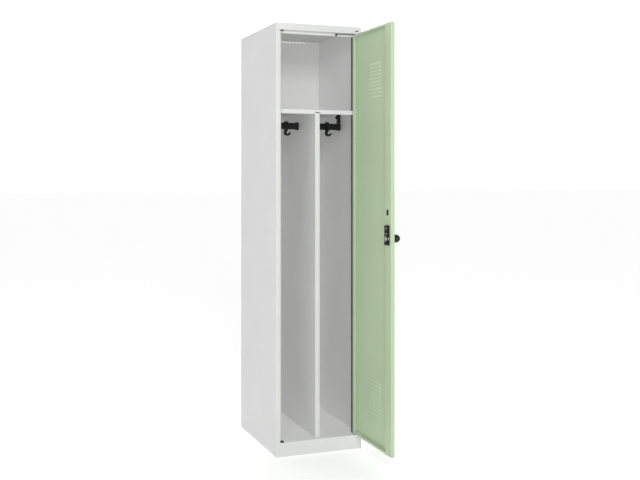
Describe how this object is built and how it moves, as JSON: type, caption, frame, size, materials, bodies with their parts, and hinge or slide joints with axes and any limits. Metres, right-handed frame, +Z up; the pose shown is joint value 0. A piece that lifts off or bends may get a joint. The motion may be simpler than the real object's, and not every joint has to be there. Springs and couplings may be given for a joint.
{
  "type": "school locker",
  "caption": "Tall narrow sheet-steel locker with a plinth, hat shelf, centre partition, coat rails and hooks, and a louvred pivot-hung door with a turn latch, standing open.",
  "frame": {"origin": "on the floor, at the middle of the front plinth's bottom return, 7.5 mm behind the carcass's front face", "axes": "+Z up; +X towards the hinge side, seen from the front; +Y from the front towards the back"},
  "size_m": [0.4145, 0.8235, 1.85],
  "materials": {
    "light_grey_paint": "satin powder coat",
    "pastel_green_paint": "satin powder coat",
    "black_plastic": "moulded, slightly glossy",
    "black_rubber": "matt",
    "black_coated_steel": "black coated tube",
    "zinc_plated_steel": "zinc plated"
  },
  "bodies": {
    "carcass": {"left_side_panel": "light_grey_paint", "right_side_panel": "light_grey_paint", "roof_panel": "light_grey_paint", "plinth_panel": "light_grey_paint", "floor_panel": "light_grey_paint", "back_panel": "light_grey_paint", "hat_shelf": "light_grey_paint", "centre_partition": "light_grey_paint", "shelf_clip_left_front": "zinc_plated_steel", "shelf_clip_left_rear": "zinc_plated_steel", "shelf_clip_right_front": "zinc_plated_steel", "shelf_clip_right_rear": "zinc_plated_steel", "hinge_side_strip": "black_rubber", "lower_blanking_cap": "black_plastic", "upper_blanking_cap": "black_plastic", "lower_pivot_bush": "black_plastic", "upper_pivot_bush": "black_plastic", "hold_open_spring": "black_coated_steel", "spring_anchor": "black_plastic", "coat_rail_left": "black_coated_steel", "coat_rail_right": "black_coated_steel", "rail_socket_left": "black_plastic", "rail_socket_right": "black_plastic", "rail_hanger_left": "black_plastic", "rail_hanger_right": "black_plastic", "rail_hanger_left_screw": "zinc_plated_steel", "rail_hanger_right_screw": "zinc_plated_steel"},
    "door": {"door_panel": "pastel_green_paint", "door_stiffener": "pastel_green_paint", "lock_blank_plug": "black_plastic", "lock_case": "black_plastic", "case_screw_lower": "zinc_plated_steel", "case_screw_upper": "zinc_plated_steel", "knob_rosette": "black_plastic", "lower_pivot_pin": "zinc_plated_steel", "upper_pivot_pin": "zinc_plated_steel", "lower_pivot_block": "zinc_plated_steel", "upper_pivot_block": "zinc_plated_steel"},
    "knob": {"turn_knob": "black_plastic", "latch_spindle": "zinc_plated_steel", "latch_cam": "zinc_plated_steel"},
    "bolt": {"latch_bolt": "zinc_plated_steel"},
    "hook_left": {"coat_hook_left": "black_plastic"},
    "hook_right": {"coat_hook_right": "black_plastic"}
  },
  "joints": [
    {"name": "door_swing", "type": "hinge", "parent": "carcass", "child": "door", "pos_m": [0.172, -0.001, 0.94], "axis": [0, 0, 1], "range_deg": [-90, 12]},
    {"name": "knob_turn", "type": "hinge", "parent": "door", "child": "knob", "pos_m": [0.17, -0.323, 0.944], "axis": [-1, 0, 0], "range_deg": [0, 90]},
    {"name": "bolt_throw", "type": "slide", "parent": "door", "child": "bolt", "axis": [0, -1, 0], "range_m": [0, 0.009]},
    {"name": "hook_left_slide", "type": "slide", "parent": "carcass", "child": "hook_left", "axis": [1, 0, 0], "range_m": [-0.105, 0.034]},
    {"name": "hook_right_slide", "type": "slide", "parent": "carcass", "child": "hook_right", "axis": [1, 0, 0], "range_m": [-0.121, 0.041]}
  ],
  "couplings": [
    {"joint": "bolt_throw", "follows": "knob_turn", "m_per_rad": 0.005729}
  ]
}
